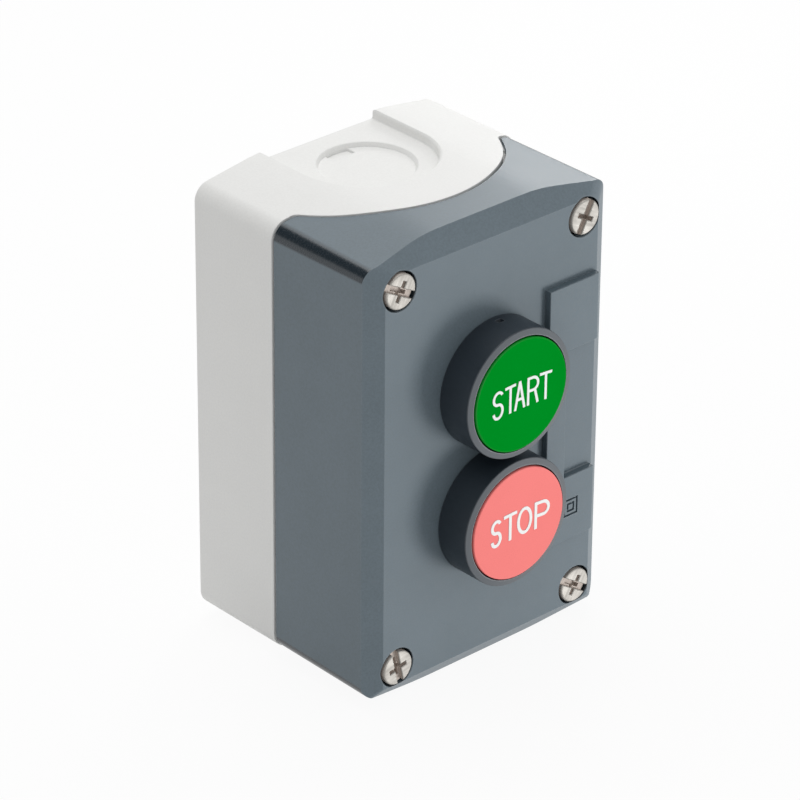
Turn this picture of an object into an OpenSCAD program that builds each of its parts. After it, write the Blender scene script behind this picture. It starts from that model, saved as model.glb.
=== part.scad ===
// Two-button control station: wall box with a START and a STOP pushbutton.
// Sizes are in millimetres. The origin is the centre of the back face,
// +Z is up and the buttons face -Y.

/* [Box] */
// Width of the box
box_w = 68; // [58:1:90]
// Height of the box over the crowned ends
box_h = 106; // [92:1:150]
// Depth from the wall face to the front panel
box_d = 55.1; // [52:0.1:75]
// Depth of the seam along the sides
seam_d = 24.8; // [23:0.2:29]
// Thickness of the casing and cover walls
wall_t = 2.6; // [2.1:0.02:3.2]
// Thickness of the cover's front panel
panel_t = 2.6; // [2:0.1:3.4]
// Radius of the four long edges
corner_r = 4; // [3.6:0.1:6]
// How far the long edges lie below the crown
crown_drop = 2; // [1:0.1:3]
// Half width of the flat part of the crown
crown_half = 16.5; // [16:0.1:19]
// Depth of the front chamfer along the sides
side_chamfer_d = 2.9; // [1.5:0.1:4]
// Width of the front chamfer along the sides
side_chamfer_w = 4.2; // [2:0.1:5]
// Depth of the front chamfer along the upper end
end_chamfer_d = 4.3; // [2:0.1:5]
// Depth of the front chamfer along the lower end
lower_chamfer_d = 3.8; // [2:0.1:5]
// Width of the front chamfer along the ends
end_chamfer_w = 4.5; // [2:0.1:5]

/* [Seam and seal] */
// How far the seam bulges forward on the crowned ends
seam_bulge = 17.5; // [15:0.5:19]
// Straight part of the seam at each side of the bulge
seam_side = 5.6; // [5:0.1:9]
// Gap between casing and cover at the seam
seam_gap = 0.5; // [0.2:0.05:0.6]
// Height of the casing's inner lip beyond the seam
lip_h = 1.8; // [1.2:0.1:2.4]
// Clearance between the lip and the cover
lip_gap = 0.15; // [0.1:0.05:0.3]
// Step by which the cover's outside is smaller than the casing's
cover_step = 0.25; // [0:0.05:0.5]
// Thickness of the cover seal
seal_t = 0.8; // [0.6:0.1:1.2]

/* [Knock-outs and wall fixing] */
// Half width of the U-shaped recess on each end
recess_half = 15.8; // [13:0.1:15.8]
// Depth of the recess
recess_d = 2.2; // [1.2:0.1:2.4]
// Distance of the recess centre from the wall face
recess_f = 15; // [13:0.1:16]
// Radius of the knock-out disc
knockout_r = 10.5; // [8:0.05:11]
// Distance of the knock-out centre from the wall face
knockout_f = 16; // [15:0.1:17]
// Depth of the knock-out below the recess floor
knockout_d = 1; // [0.5:0.1:1.2]
// Width of the pry notch in the knock-out disc
pry_w = 6.2; // [3:0.1:8]
// Length of the pry notch
pry_l = 2.6; // [1:0.1:4]
// Depth of the pry notch
pry_d = 0.5; // [0.2:0.1:0.6]
// Radius of the wall fixing holes
fixing_r = 2.15; // [1.6:0.05:2.6]
// Distance of the fixing holes from the cover screws, across
fixing_in = 10.8; // [9.5:0.1:14]
// Distance of the fixing holes from the cover screws, up and down
fixing_drop = 1.46; // [0:0.02:3]

/* [Cover screws] */
// Distance of the cover screws from the side of the box
screw_side = 8.2; // [7.8:0.1:10]
// Distance of the cover screws from the end of the box
screw_end = 8.54; // [8:0.02:11]
// Radius of the screw head
head_r = 3.95; // [3.4:0.05:4.3]
// Height of the screw head
head_h = 3.2; // [2.4:0.1:3.6]
// Radius of the screw shank
shank_r = 2; // [1.5:0.1:2.2]
// How far the screws reach into the casing's pillars
screw_hold = 11.4; // [8:0.1:13]
// Gap round the screw head
head_gap = 0.52; // [0.2:0.02:0.6]
// How far the screw head lies below the panel
head_sink = 0.15; // [0.05:0.05:0.8]
// Width of the screwdriver slot
slot_w = 1.6; // [1:0.1:2]
// Depth of the screwdriver slot
slot_d = 1.1; // [0.6:0.1:1.6]

/* [Raised strip] */
// Height of the raised strip beside the buttons
strip_h = 1.6; // [0.6:0.1:2]
// Distance of the strip's left edge from the centre line
strip_x = 15; // [14.9:0.1:17]
// Distance of the strip's right edge from the side of the box
strip_side = 4.7; // [4.5:0.1:7]
// How far the strip reaches past the button centres
strip_over = 15.7; // [10:0.1:17]
// Width of the notch in the strip
notch_w = 8.9; // [4:0.1:9]
// Height of the notch in the strip
notch_h = 30.6; // [10:0.1:34]

/* [Buttons] */
// Distance between the two button centres
pitch = 30.6; // [29.8:0.1:38]
// Outer radius of the bezel
bezel_r = 14.7; // [14:0.1:14.8]
// How far the bezel stands out of the panel
bezel_out = 9.1; // [7.8:0.05:11]
// Radius of the push cap
cap_r = 12.75; // [12:0.05:13]
// Gap between cap and bezel
cap_gap = 0.25; // [0.2:0.05:0.4]
// Thickness of the push cap
cap_t = 2.2; // [1.8:0.1:2.4]
// Travel of the push cap
travel = 4.3; // [2.5:0.1:4.6]
// Radius of the bezel's barrel
barrel_r = 11; // [10.4:0.1:11.2]
// Radius of the stem's rod
rod_r = 4; // [3.4:0.1:4.4]
// Height of the legend letters
letter_h = 6.5; // [4:0.05:8]

/* [Contact blocks] */
// Width of a contact block
block_w = 40; // [38:0.5:46]
// Height of a contact block
block_h = 25; // [20:0.5:28]
// Distance of the terminals from the block's centre line
terminal_x = 15; // [14:0.1:16]
// Distance of the closed plunger's tip from the wall face
tip_f = 36; // [35:0.1:38]
// Travel of the contact bridge
bridge_travel = 2; // [1.2:0.1:2.4]

/* [Hidden] */

$fn = 96;
// Steps of each rounded corner of the outline
arc_steps = 8;
// Small overlap that joins two solids or cuts clean through a face
eps = 0.5;
// Running clearance of a sliding fit, on the radius
run_gap = 0.05;
// Clearance between fixed pieces that slip into each other
slip_gap = 0.1;

half_w = box_w / 2;
half_h = box_h / 2;

// Seam arc on the crowned ends
seam_chord = half_w - seam_side;
seam_r = (seam_chord * seam_chord + seam_bulge * seam_bulge) / (2 * seam_bulge);
seam_centre = seam_d + seam_bulge - seam_r;
front_limit = seam_d + seam_bulge + 5;
ledge = lip_h + slip_gap + seal_t;

// Cover screws, bosses and pillars
screw_x = half_w - screw_side;
screw_y = half_h - screw_end;
screw_spots = [[-1, 1, -28], [1, 1, 62], [-1, -1, -78], [1, -1, -32]];
counterbore_r = head_r + head_gap;
head_f = box_d - head_sink - head_h;
boss_r = 6;
boss_wall_gap = 0.46;
crown_fall = crown_drop * (screw_x - crown_half) / (half_w - corner_r - crown_half);
boss_tail_r = screw_end - crown_fall - wall_t - boss_wall_gap;
boss_tail_f = seam_d + 1.2;
boss_root_x = screw_x - boss_r;
boss_root_f = seam_centre + sqrt((seam_r + ledge) * (seam_r + ledge) - boss_root_x * boss_root_x) + 0.4;
boss_hole_r = shank_r + 0.3;
pillar_lip = 1.5;
pillar_r = boss_tail_r + pillar_lip;
pillar_f = boss_tail_f - slip_gap;
pillar_bore_d = screw_hold + 2.6;
shank_l = head_f - pillar_f + screw_hold;
retainer_r = boss_tail_r - 1;
retainer_t = 1;

// Wall fixing
fixing_x = screw_x - fixing_in;
fixing_y = screw_y - fixing_drop;
fixing_rim_r = fixing_r + 2.3;
fixing_rim_h = 1;

// Buttons
button_y = pitch / 2;
front_f = box_d + bezel_out;
seal_disc_t = 0.6;
seal_disc_r = barrel_r + 1.6;
collar_wall = bezel_r - cap_r - cap_gap;
shoulder_f = front_f - cap_t - travel - 0.15;
bore_r = barrel_r - 1.4;
skirt_r = bore_r - 0.7;
skirt_in_r = skirt_r - 0.9;
flange_r = bore_r - 0.3;
flange_t = 1.15;
flange_f = front_f - cap_t - flange_t;
rear_wall_t = 1.5;
rear_wall_f = box_d - 9.6 - rear_wall_t;
skirt_f = rear_wall_f + rear_wall_t + travel + 1.2;
seal_groove_r = skirt_r + 1.1;
seal_groove_w = 1.2;
seal_groove_f = box_d - 2.1;
ring_t = 0.95;
ring_f = rear_wall_f - run_gap - ring_t;
ring_groove_r = rod_r - 0.7;
tip_gap = 0.3;
boss_pin_r = 3;
boss_pin_l = 1.5;
nut_r = 14;
nut_t = 5;
hole_r = barrel_r + 0.25;

// Contact blocks
floor_t = wall_t;
base_t = 2;
housing_f = floor_t + base_t;
tower_top = tip_f - 5;
housing_top = tower_top - 2.5;
tower_half = 8;
cavity_half_w = 10;
cavity_half_h = 5.5;
cavity_top = housing_top - 2;
plunger_w = 8;
plunger_h = 6;
plunger_rear = 12;
plunger_nose_l = 1.5;
plunger_nose_r = 2.9;
window_h = 4.4;
slip = travel - bridge_travel;
strip_t = 0.8;
strip_w = 5;
rivet_r = 1.4;
rivet_t = 0.6;
rivet_x = 7.5;
contact_in = 5.5;
terminal_f = 21.2;
elbow_x = terminal_x - 3.5;
open_strip_f = 12.75;
bridge_t = 0.8;
bridge_h = 3.8;
bridge_half = 9;
contact_spring_l = 5;
open_bridge_f = open_strip_f + strip_t + rivet_t + bridge_travel + run_gap + rivet_t;
closed_bridge_f = terminal_f - rivet_t - run_gap - rivet_t - bridge_t;
closed_window_rear = closed_bridge_f - contact_spring_l + 0.35;
pocket_r = 3.4;
clamp_side = 4.4;
clamp_t = 1;
terminal_head_r = 2.15;
terminal_head_h = 2;
terminal_shank_r = 1.2;
terminal_shank_l = 7.5;

// The wall plane is X-Y while a piece is drawn; this stands it up, facing -Y.
module stand() {
    rotate([90, 0, 0]) children();
}

// A cylinder that points up, along the box's height
module upright(x, y, f, r, h) {
    translate([x, y, f]) rotate([-90, 0, 0]) cylinder(h = h, r = r);
}

// A block centred on x and y, from depth f0 to f1
module block(x, y, w, h, f0, f1) {
    translate([x - w / 2, y - h / 2, f0]) cube([w, h, f1 - f0]);
}

// A disc or bar along the depth, from f0 to f1
module rod(x, y, r, f0, f1) {
    translate([x, y, f0]) cylinder(h = f1 - f0, r = r);
}

// A ring along the depth
module ring(x, y, r_out, r_in, f0, f1) {
    difference() {
        rod(x, y, r_out, f0, f1);
        rod(x, y, r_in, f0 - eps, f1 + eps);
    }
}

// Points of a quarter arc that starts at the angle a0
function arc(cx, cy, r, a0) =
    [for (i = [0:arc_steps]) [cx + r * cos(a0 + 90 * i / arc_steps), cy + r * sin(a0 + 90 * i / arc_steps)]];

// The box's outline seen from the front, moved inwards by t
function outline(t) =
    let (w = half_w - t, h = half_h - crown_drop - t, r = max(corner_r - t, 0.8), top = half_h - t)
    concat(
        arc(w - r, h - r, r, 0),
        [[crown_half, top], [-crown_half, top]],
        arc(r - w, h - r, r, 90),
        arc(r - w, r - h, r, 180),
        [[-crown_half, -top], [crown_half, -top]],
        arc(w - r, r - h, r, 270)
    );

module prism(t, f0, f1) {
    translate([0, 0, f0]) linear_extrude(f1 - f0) polygon(outline(t));
}

// Everything behind the seam surface, moved forward by extra
module behind(extra) {
    reach = box_h + 10;
    translate([-half_w - 5, -reach / 2, -1]) cube([box_w + 10, reach, seam_d + extra + 1]);
    upright(0, -reach / 2, seam_centre, seam_r + extra, reach);
}

// Turned parts: the outline is a list of [radius, depth]
module turned(x, y, points) {
    translate([x, y, 0]) rotate_extrude() polygon(points);
}

// A coil spring along the depth, as one swept tube
module coil(x, y, mean_r, wire_r, f0, f1, turns, per_turn, sides) {
    count = turns * per_turn;
    rise = (f1 - f0 - 2 * wire_r) / count;
    lean = atan2(rise * per_turn, 2 * PI * mean_r);
    points = [for (i = [0:count], k = [0:sides - 1])
        let (a = 360 * i / per_turn, b = 360 * k / sides, out = mean_r + wire_r * cos(b), up = wire_r * sin(b))
        [out * cos(a) + up * sin(lean) * sin(a),
         out * sin(a) - up * sin(lean) * cos(a),
         f0 + wire_r + rise * i + up * cos(lean)]];
    sides_list = [for (i = [0:count - 1], k = [0:sides - 1], half = [0, 1])
        let (n = (k + 1) % sides, a = i * sides, b = a + sides)
        half == 0 ? [a + k, a + n, b + n] : [a + k, b + n, b + k]];
    first_end = [for (k = [0:sides - 1]) sides - 1 - k];
    last_end = [for (k = [0:sides - 1]) count * sides + k];
    translate([x, y, 0]) polyhedron(points, concat(sides_list, [first_end], [last_end]));
}

// One end of the casing: pad, later cut by the recess and the knock-out
module end_pad() {
    pad_half = recess_half + 2.5;
    pad_low = half_h - recess_d - wall_t;
    pad_high = half_h - wall_t + eps;
    intersection() {
        union() {
            translate([-pad_half, pad_low, 1]) cube([2 * pad_half, pad_high - pad_low, recess_f - 1]);
            upright(0, pad_low, recess_f, pad_half, pad_high - pad_low);
        }
        block(0, half_h, box_w, box_h, 1, front_limit);
    }
}

module end_cuts() {
    floor_y = half_h - recess_d;
    disc_y = floor_y - knockout_d;
    score_y = floor_y - wall_t;
    score_d = 0.7;
    // U-shaped recess, open at the wall face
    translate([-recess_half, floor_y, -1]) cube([2 * recess_half, recess_d + 1, recess_f + 1]);
    upright(0, floor_y, recess_f, recess_half, recess_d + 1);
    // Sunk knock-out disc, scored round its edge from the inside
    upright(0, disc_y, knockout_f, knockout_r, knockout_d + 1);
    // Shallow pry notch at the disc's rear edge
    intersection() {
        translate([-pry_w / 2, disc_y - pry_d, knockout_f - knockout_r]) cube([pry_w, pry_d + 1, pry_l + 0.5]);
        upright(0, disc_y - pry_d - 1, knockout_f, knockout_r, pry_d + 3);
    }
    difference() {
        upright(0, score_y - 1, knockout_f, knockout_r + 0.5, score_d + 1);
        upright(0, score_y - 2, knockout_f, knockout_r - 0.4, score_d + 3);
    }
}

module rear_casing() {
    rib_x = block_w / 2 + 0.3;
    rib_t = 1.2;
    rib_l = 14;
    rib_h = 6;
    core_d = 0.6;
    core_w = box_w - 16;
    core_in = 6;
    core_h = fixing_y - fixing_rim_r - core_in - 2;
    color("gainsboro") stand() difference() {
        union() {
            difference() {
                union() {
                    intersection() {
                        prism(0, 0, front_limit);
                        behind(0);
                    }
                    intersection() {
                        prism(wall_t / 2 + lip_gap, 1, front_limit + 1);
                        behind(lip_h);
                    }
                }
                prism(wall_t, floor_t, front_limit + 2);
            }
            end_pad();
            mirror([0, 1, 0]) end_pad();
            for (s = screw_spots) rod(s[0] * screw_x, s[1] * screw_y, pillar_r, 1, pillar_f);
            for (sx = [-1, 1], sy = [-1, 1]) rod(sx * fixing_x, sy * fixing_y, fixing_rim_r, 1, floor_t + fixing_rim_h);
            for (sx = [-1, 1], sy = [-1, 1])
                block(sx * (rib_x + rib_t / 2), sy * button_y, rib_t, rib_l, 1, floor_t + rib_h);
        }
        end_cuts();
        mirror([0, 1, 0]) end_cuts();
        for (s = screw_spots)
            rod(s[0] * screw_x, s[1] * screw_y, shank_r + run_gap, pillar_f - pillar_bore_d, pillar_f + 1);
        for (sx = [-1, 1], sy = [-1, 1]) rod(sx * fixing_x, sy * fixing_y, fixing_r, -1, floor_t + fixing_rim_h + 1);
        for (s = [-1, 1]) block(0, s * (core_in + core_h / 2), core_w, core_h, -1, core_d);
    }
}

// The cover's outside: the outline, chamfered along all four front edges
module cover_body() {
    w = half_w + eps;
    h = half_h + eps;
    intersection() {
        prism(cover_step, seam_d - 5, box_d);
        rotate([90, 0, 90]) translate([0, 0, -w]) linear_extrude(2 * w) polygon([
            [-h, 0], [h, 0], [h, box_d - end_chamfer_d - eps],
            [half_h, box_d - end_chamfer_d], [half_h - end_chamfer_w, box_d],
            [end_chamfer_w - half_h, box_d], [-half_h, box_d - lower_chamfer_d],
            [-h, box_d - lower_chamfer_d - eps]]);
        rotate([90, 0, 0]) translate([0, 0, -h]) linear_extrude(2 * h) polygon([
            [-w, 0], [w, 0], [w, box_d - side_chamfer_d - eps],
            [half_w, box_d - side_chamfer_d], [half_w - side_chamfer_w, box_d],
            [side_chamfer_w - half_w, box_d], [-half_w, box_d - side_chamfer_d],
            [-w, box_d - side_chamfer_d - eps]]);
    }
}

// Raised strip with eased right edge and the notch between the buttons
module raised_strip() {
    right = half_w - strip_side;
    ease_w = 1.7;
    ease_d = 0.25;
    reach = button_y + strip_over;
    difference() {
        rotate([90, 0, 0]) translate([0, 0, -reach]) linear_extrude(2 * reach) polygon([
            [strip_x, box_d - 1], [strip_x, box_d + strip_h], [right - ease_w, box_d + strip_h],
            [right, box_d + strip_h - ease_d], [right, box_d - 1]]);
        translate([right - notch_w, -notch_h / 2, box_d]) cube([notch_w + 1, notch_h, strip_h + 1]);
    }
}

// Square frame of the engraved double square
module square_frame(x, y, side, line, f) {
    difference() {
        block(x, y, side, side, f, f + 1);
        block(x, y, side - 2 * line, side - 2 * line, f - 1, f + 2);
    }
}

module front_cover() {
    thick_f = box_d - panel_t - 5;
    corner_fill = 3;
    symbol_x = half_w - 11.5;
    symbol_y = -button_y - 7.75;
    symbol_side = 4.1;
    symbol_line = 0.42;
    symbol_d = 0.25;
    symbol_f = box_d + strip_h - symbol_d;
    color("slategray") stand() difference() {
        union() {
            difference() {
                cover_body();
                prism(wall_t, seam_d - 6, thick_f);
                prism(wall_t + corner_fill, thick_f - 1, box_d - panel_t);
                behind(seam_gap);
                intersection() {
                    prism(wall_t / 2, seam_d - 6, front_limit + 5);
                    behind(ledge);
                }
            }
            raised_strip();
            for (s = screw_spots) {
                rod(s[0] * screw_x, s[1] * screw_y, boss_tail_r, boss_tail_f, box_d - 1);
                intersection() {
                    rod(s[0] * screw_x, s[1] * screw_y, boss_r, boss_root_f, box_d - 1);
                    prism(wall_t / 2, boss_root_f - 1, box_d);
                }
            }
        }
        for (s = screw_spots) {
            rod(s[0] * screw_x, s[1] * screw_y, counterbore_r, head_f, box_d + 2);
            rod(s[0] * screw_x, s[1] * screw_y, boss_hole_r, boss_tail_f - 1, box_d);
            rod(s[0] * screw_x, s[1] * screw_y, retainer_r + slip_gap, boss_tail_f - 1, boss_tail_f + retainer_t + 0.2);
        }
        for (s = [-1, 1]) rod(0, s * button_y, hole_r, box_d - panel_t - 1, box_d + 1);
        square_frame(symbol_x, symbol_y, symbol_side, symbol_line, symbol_f);
        square_frame(symbol_x, symbol_y, symbol_side / 2, symbol_line, symbol_f);
    }
}

// Moulded rubber frame between the casing's lip and the cover's ledge
module cover_seal() {
    color("dimgray") stand() difference() {
        intersection() {
            difference() {
                prism(wall_t / 2 + slip_gap, seam_d - 3, front_limit + 3);
                prism(wall_t - slip_gap, seam_d - 4, front_limit + 4);
            }
            behind(ledge);
        }
        behind(ledge - seal_t);
    }
}

module cover_screws() {
    cross_l = 4.6;
    cross_w = 0.9;
    cross_d = 2.2;
    rim = 0.35;
    head_top = head_f + head_h;
    color("silver") stand() for (s = screw_spots) translate([s[0] * screw_x, s[1] * screw_y, 0]) difference() {
        turned(0, 0, [
            [0, head_f - shank_l], [shank_r - rim, head_f - shank_l], [shank_r, head_f - shank_l + rim],
            [shank_r, head_f], [head_r, head_f], [head_r, head_top - rim], [head_r - rim, head_top], [0, head_top]]);
        rotate([0, 0, s[2]]) block(0, 0, 3 * head_r, slot_w, head_top - slot_d, head_top + 1);
        rotate([0, 0, s[2]]) block(0, 0, cross_l, cross_w, head_top - cross_d, head_top + 1);
        rotate([0, 0, s[2] + 90]) block(0, 0, cross_l, cross_w, head_top - cross_d, head_top + 1);
    }
}

// Rings that keep the loosened screws in the cover
module screw_retainers() {
    color("black") stand() for (s = screw_spots)
        ring(s[0] * screw_x, s[1] * screw_y, retainer_r, shank_r + run_gap, boss_tail_f + slip_gap, boss_tail_f + slip_gap + retainer_t);
}

// Button body: collar in front of the panel, barrel behind it
module bezel(y) {
    edge = 0.5;
    inner_edge = 0.3;
    mark_w = 1.6;
    mark_d = 0.9;
    mark_f = box_d + 1.5;
    mark_l = 1.3;
    tail_f = rear_wall_f;
    color("darkslategray") stand() difference() {
        turned(0, y, [
            [rod_r + run_gap, tail_f], [barrel_r, tail_f], [barrel_r, box_d + seal_disc_t],
            [seal_disc_r + slip_gap, box_d + seal_disc_t], [seal_disc_r + slip_gap, box_d + run_gap],
            [bezel_r, box_d + run_gap], [bezel_r, front_f - edge], [bezel_r - edge, front_f],
            [bezel_r - collar_wall + inner_edge, front_f], [bezel_r - collar_wall, front_f - inner_edge],
            [bezel_r - collar_wall, shoulder_f], [bore_r, shoulder_f],
            [bore_r, seal_groove_f + seal_groove_w / 2], [seal_groove_r, seal_groove_f + seal_groove_w / 2],
            [seal_groove_r, seal_groove_f - seal_groove_w / 2], [bore_r, seal_groove_f - seal_groove_w / 2],
            [bore_r, rear_wall_f + rear_wall_t], [rod_r + run_gap, rear_wall_f + rear_wall_t]]);
        block(0, y + bezel_r, mark_w, 2 * mark_d, mark_f, mark_f + mark_l);
    }
}

module panel_seal(y) {
    color("dimgray") stand() ring(0, y, seal_disc_r, barrel_r + slip_gap, box_d, box_d + seal_disc_t);
}

// Round nut with grip notches that pulls the bezel onto the panel
module nut(y) {
    notches = 12;
    notch_r = 1.1;
    color("dimgray") stand() difference() {
        ring(0, y, nut_r, barrel_r + run_gap, box_d - panel_t - nut_t, box_d - panel_t);
        for (i = [0:notches - 1])
            rod(nut_r * cos(360 * i / notches), y + nut_r * sin(360 * i / notches), notch_r, box_d - panel_t - nut_t - 1, box_d - panel_t - 1.5);
    }
}

// Rubber ring that seals the sliding stem
module stem_seal(y) {
    section_r = (seal_groove_r - skirt_r) / 2 - run_gap;
    color("dimgray") stand() translate([0, y, seal_groove_f]) rotate_extrude()
        translate([(seal_groove_r + skirt_r) / 2, 0]) circle(r = section_r, $fn = 24);
}

module cap(y, tint) {
    edge = 0.4;
    color(tint) stand() turned(0, y, [
        [0, front_f - cap_t - boss_pin_l], [boss_pin_r, front_f - cap_t - boss_pin_l], [boss_pin_r, front_f - cap_t],
        [cap_r, front_f - cap_t], [cap_r, front_f - edge], [cap_r - edge, front_f], [0, front_f]]);
}

// Push stem: flange under the cap, guide skirt, and the rod that works the contact block
module stem(y) {
    skirt_root = flange_f + 0.2;
    color("black") stand() turned(0, y, [
        [0, tip_f + tip_gap], [rod_r - 0.4, tip_f + tip_gap], [rod_r, tip_f + tip_gap + 0.4],
        [rod_r, ring_f - run_gap], [ring_groove_r, ring_f - run_gap],
        [ring_groove_r, ring_f + ring_t + run_gap], [rod_r, ring_f + ring_t + run_gap],
        [rod_r, flange_f], [skirt_in_r, flange_f], [skirt_in_r, skirt_f], [skirt_r, skirt_f],
        [skirt_r, skirt_root], [flange_r, skirt_root], [flange_r, flange_f + flange_t],
        [boss_pin_r + run_gap, flange_f + flange_t], [boss_pin_r + run_gap, flange_f + flange_t - boss_pin_l - slip_gap],
        [0, flange_f + flange_t - boss_pin_l - slip_gap]]);
}

module stem_ring(y) {
    slot = 4;
    color("silver") stand() difference() {
        ring(0, y, rod_r + 2, ring_groove_r + run_gap, ring_f, ring_f + ring_t);
        block(0, y - rod_r - 1, slot, rod_r * 2, ring_f - 1, ring_f + ring_t + 1);
    }
}

module return_spring(y) {
    color("silver") stand() coil(0, y, (rod_r + skirt_in_r) / 2, 0.4, rear_wall_f + rear_wall_t, flange_f, 5, 16, 6);
}

// Strokes of the legends, drawn in the letter's own square
module bar(x, y, w, h) {
    translate([x, y]) square([w, h]);
}

module slanted(x0, y0, x1, y1, t) {
    polygon([[x0, y0], [x0 + t, y0], [x1 + t, y1], [x1, y1]]);
}

// Part of an oval ring between the angles a0 and a1, as a polygon
module bow(cx, cy, rx, ry, t, a0, a1) {
    steps = 14;
    outer = [for (i = [0:steps]) let (a = a0 + (a1 - a0) * i / steps) [cx + rx * cos(a), cy + ry * sin(a)]];
    inner = [for (i = [0:steps]) let (a = a1 + (a0 - a1) * i / steps) [cx + (rx - t) * cos(a), cy + (ry - t) * sin(a)]];
    polygon(concat(outer, inner));
}

module letter_s(w, t) {
    h = letter_h;
    low = h * 0.27;
    high = h - low + t / 2 - 0.1;
    ry_low = low + t / 2;
    ry_high = h - high;
    bow(w / 2, high, w / 2, ry_high, t, 35, 270);
    bow(w / 2, high - ry_high - ry_low + t, w / 2, ry_low, t, -145, 90);
}

module letter_t(w, t) {
    bar(0, letter_h - t, w, t);
    bar((w - t) / 2, 0, t, letter_h - t / 2);
}

module letter_a(w, t) {
    foot = t * 1.05;
    slanted(0, 0, (w - foot) / 2, letter_h, foot);
    slanted(w - foot, 0, (w - foot) / 2, letter_h, foot);
    bar(w * 0.2, letter_h * 0.27, w * 0.6, t * 0.85);
}

module letter_p(w, t, bowl) {
    bar(0, 0, t, letter_h);
    bowl_r = bowl / 2;
    bar(t / 2, letter_h - t, w - bowl_r - t / 2, t);
    bar(t / 2, letter_h - bowl, w - bowl_r - t / 2, t);
    bow(w - bowl_r, letter_h - bowl_r, bowl_r, bowl_r, t, -90, 90);
}

module letter_r(w, t) {
    bowl = letter_h * 0.53;
    letter_p(w, t, bowl);
    slanted(w - t * 1.1, 0, w * 0.5, letter_h - bowl + t / 2, t * 1.1);
}

module letter_o(w, t) {
    bow(w / 2, letter_h / 2, w / 2, letter_h / 2, t, 0, 180);
    bow(w / 2, letter_h / 2, w / 2, letter_h / 2, t, 180, 360);
}

// Printed letters on the cap, each one a thin flat solid; the outer ones sit a little lower
module start_legend() {
    ink_t = 0.1;
    word_left = 8.25;
    t = 0.65;
    color("white") stand() translate([-word_left, button_y - letter_h / 2, front_f]) linear_extrude(ink_t) {
        translate([0, -0.2]) letter_s(3.1, t);
        translate([3.5, 0.1]) letter_t(3, t);
        translate([6.15, 0.2]) letter_a(3.15, t);
        translate([9.75, 0.15]) letter_r(3.4, t);
        translate([13.3, -0.15]) letter_t(3.5, t);
    }
}

module stop_legend() {
    ink_t = 0.1;
    word_left = 8.05;
    t = 0.8;
    color("white") stand() translate([-word_left, -button_y - letter_h / 2, front_f]) linear_extrude(ink_t) {
        translate([0, -0.1]) letter_s(3.1, t);
        translate([3.65, 0.1]) letter_t(3.8, t);
        translate([7.5, 0.1]) letter_o(4.35, t);
        translate([12.5, -0.1]) letter_p(4.4, t, letter_h * 0.56);
    }
}

// Plate on the casing floor, with posts that hold the fixed contacts from behind
module block_base(y) {
    post_w = 5.4;
    post_h = 4.8;
    pin_r = 1.5;
    pin_top = 6.4;
    color("dimgray") stand() difference() {
        union() {
            block(0, y, block_w, block_h, floor_t, housing_f);
            for (s = [-1, 1]) block(s * terminal_x, y, post_w, post_h, housing_f - eps, terminal_f - run_gap);
            rod(0, y, pin_r, housing_f - eps, pin_top);
        }
        for (s = [-1, 1]) rod(s * terminal_x, y, terminal_shank_r + run_gap, terminal_f - terminal_shank_l, terminal_f + 1);
    }
}

// Room for a fixed contact: a straight strip, or one that steps back to the open position
module contact_room(sx, y, opens) {
    room_h = strip_w + 2 * slip_gap;
    outer_x = terminal_x + 3.1;
    block(sx * (elbow_x + outer_x) / 2, y, outer_x - elbow_x + 0.4, room_h, housing_f - 1, terminal_f + strip_t + run_gap);
    inner_f = opens ? open_strip_f : terminal_f;
    block(sx * (contact_in + elbow_x) / 2, y, elbow_x - contact_in + 1, room_h, housing_f - 1, inner_f + strip_t + run_gap);
}

module block_housing(y, opens) {
    wire_h = 4.4;
    wire_w = block_w / 2 - terminal_x + 1;
    wire_f = terminal_f + strip_t + run_gap;
    color("gray") stand() difference() {
        union() {
            block(0, y, block_w, block_h, housing_f, housing_top);
            block(0, y, 2 * tower_half, 2 * tower_half, housing_top - eps, tower_top);
        }
        block(0, y, 2 * cavity_half_w, 2 * cavity_half_h, housing_f - 1, cavity_top);
        block(0, y, plunger_w + 2 * slip_gap, plunger_h + 2 * slip_gap, housing_f, tower_top + 1);
        for (sx = [-1, 1]) {
            contact_room(sx, y, opens);
            rod(sx * terminal_x, y, pocket_r, wire_f - eps, housing_top + 1);
            block(sx * (terminal_x + wire_w / 2), y, wire_w, wire_h, wire_f, wire_f + 3.2);
        }
    }
}

// Push piece with a window that the bridge lies across
module plunger(y, window_rear, window_front, tint) {
    nose_f = tip_f - plunger_nose_l;
    color(tint) stand() difference() {
        union() {
            block(0, y, plunger_w, plunger_h, plunger_rear, nose_f);
            rod(0, y, plunger_nose_r, nose_f - eps, tip_f);
        }
        block(0, y, plunger_w + 2, window_h, window_rear, window_front);
    }
}

module bridge(y, f, rivets_f) {
    color("goldenrod") stand() {
        block(0, y, 2 * bridge_half, bridge_h, f, f + bridge_t);
        for (s = [-1, 1]) rod(s * rivet_x, y, rivet_r, rivets_f, rivets_f + rivet_t + 0.2);
    }
}

module plunger_spring(y) {
    color("silver") stand() coil(0, y, 2.2, 0.25, housing_f, plunger_rear, 4, 12, 6);
}

module contact_spring(y, f0, f1) {
    color("silver") stand() coil(0, y, 1.4, 0.2, f0, f1, 4, 12, 6);
}

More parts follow.
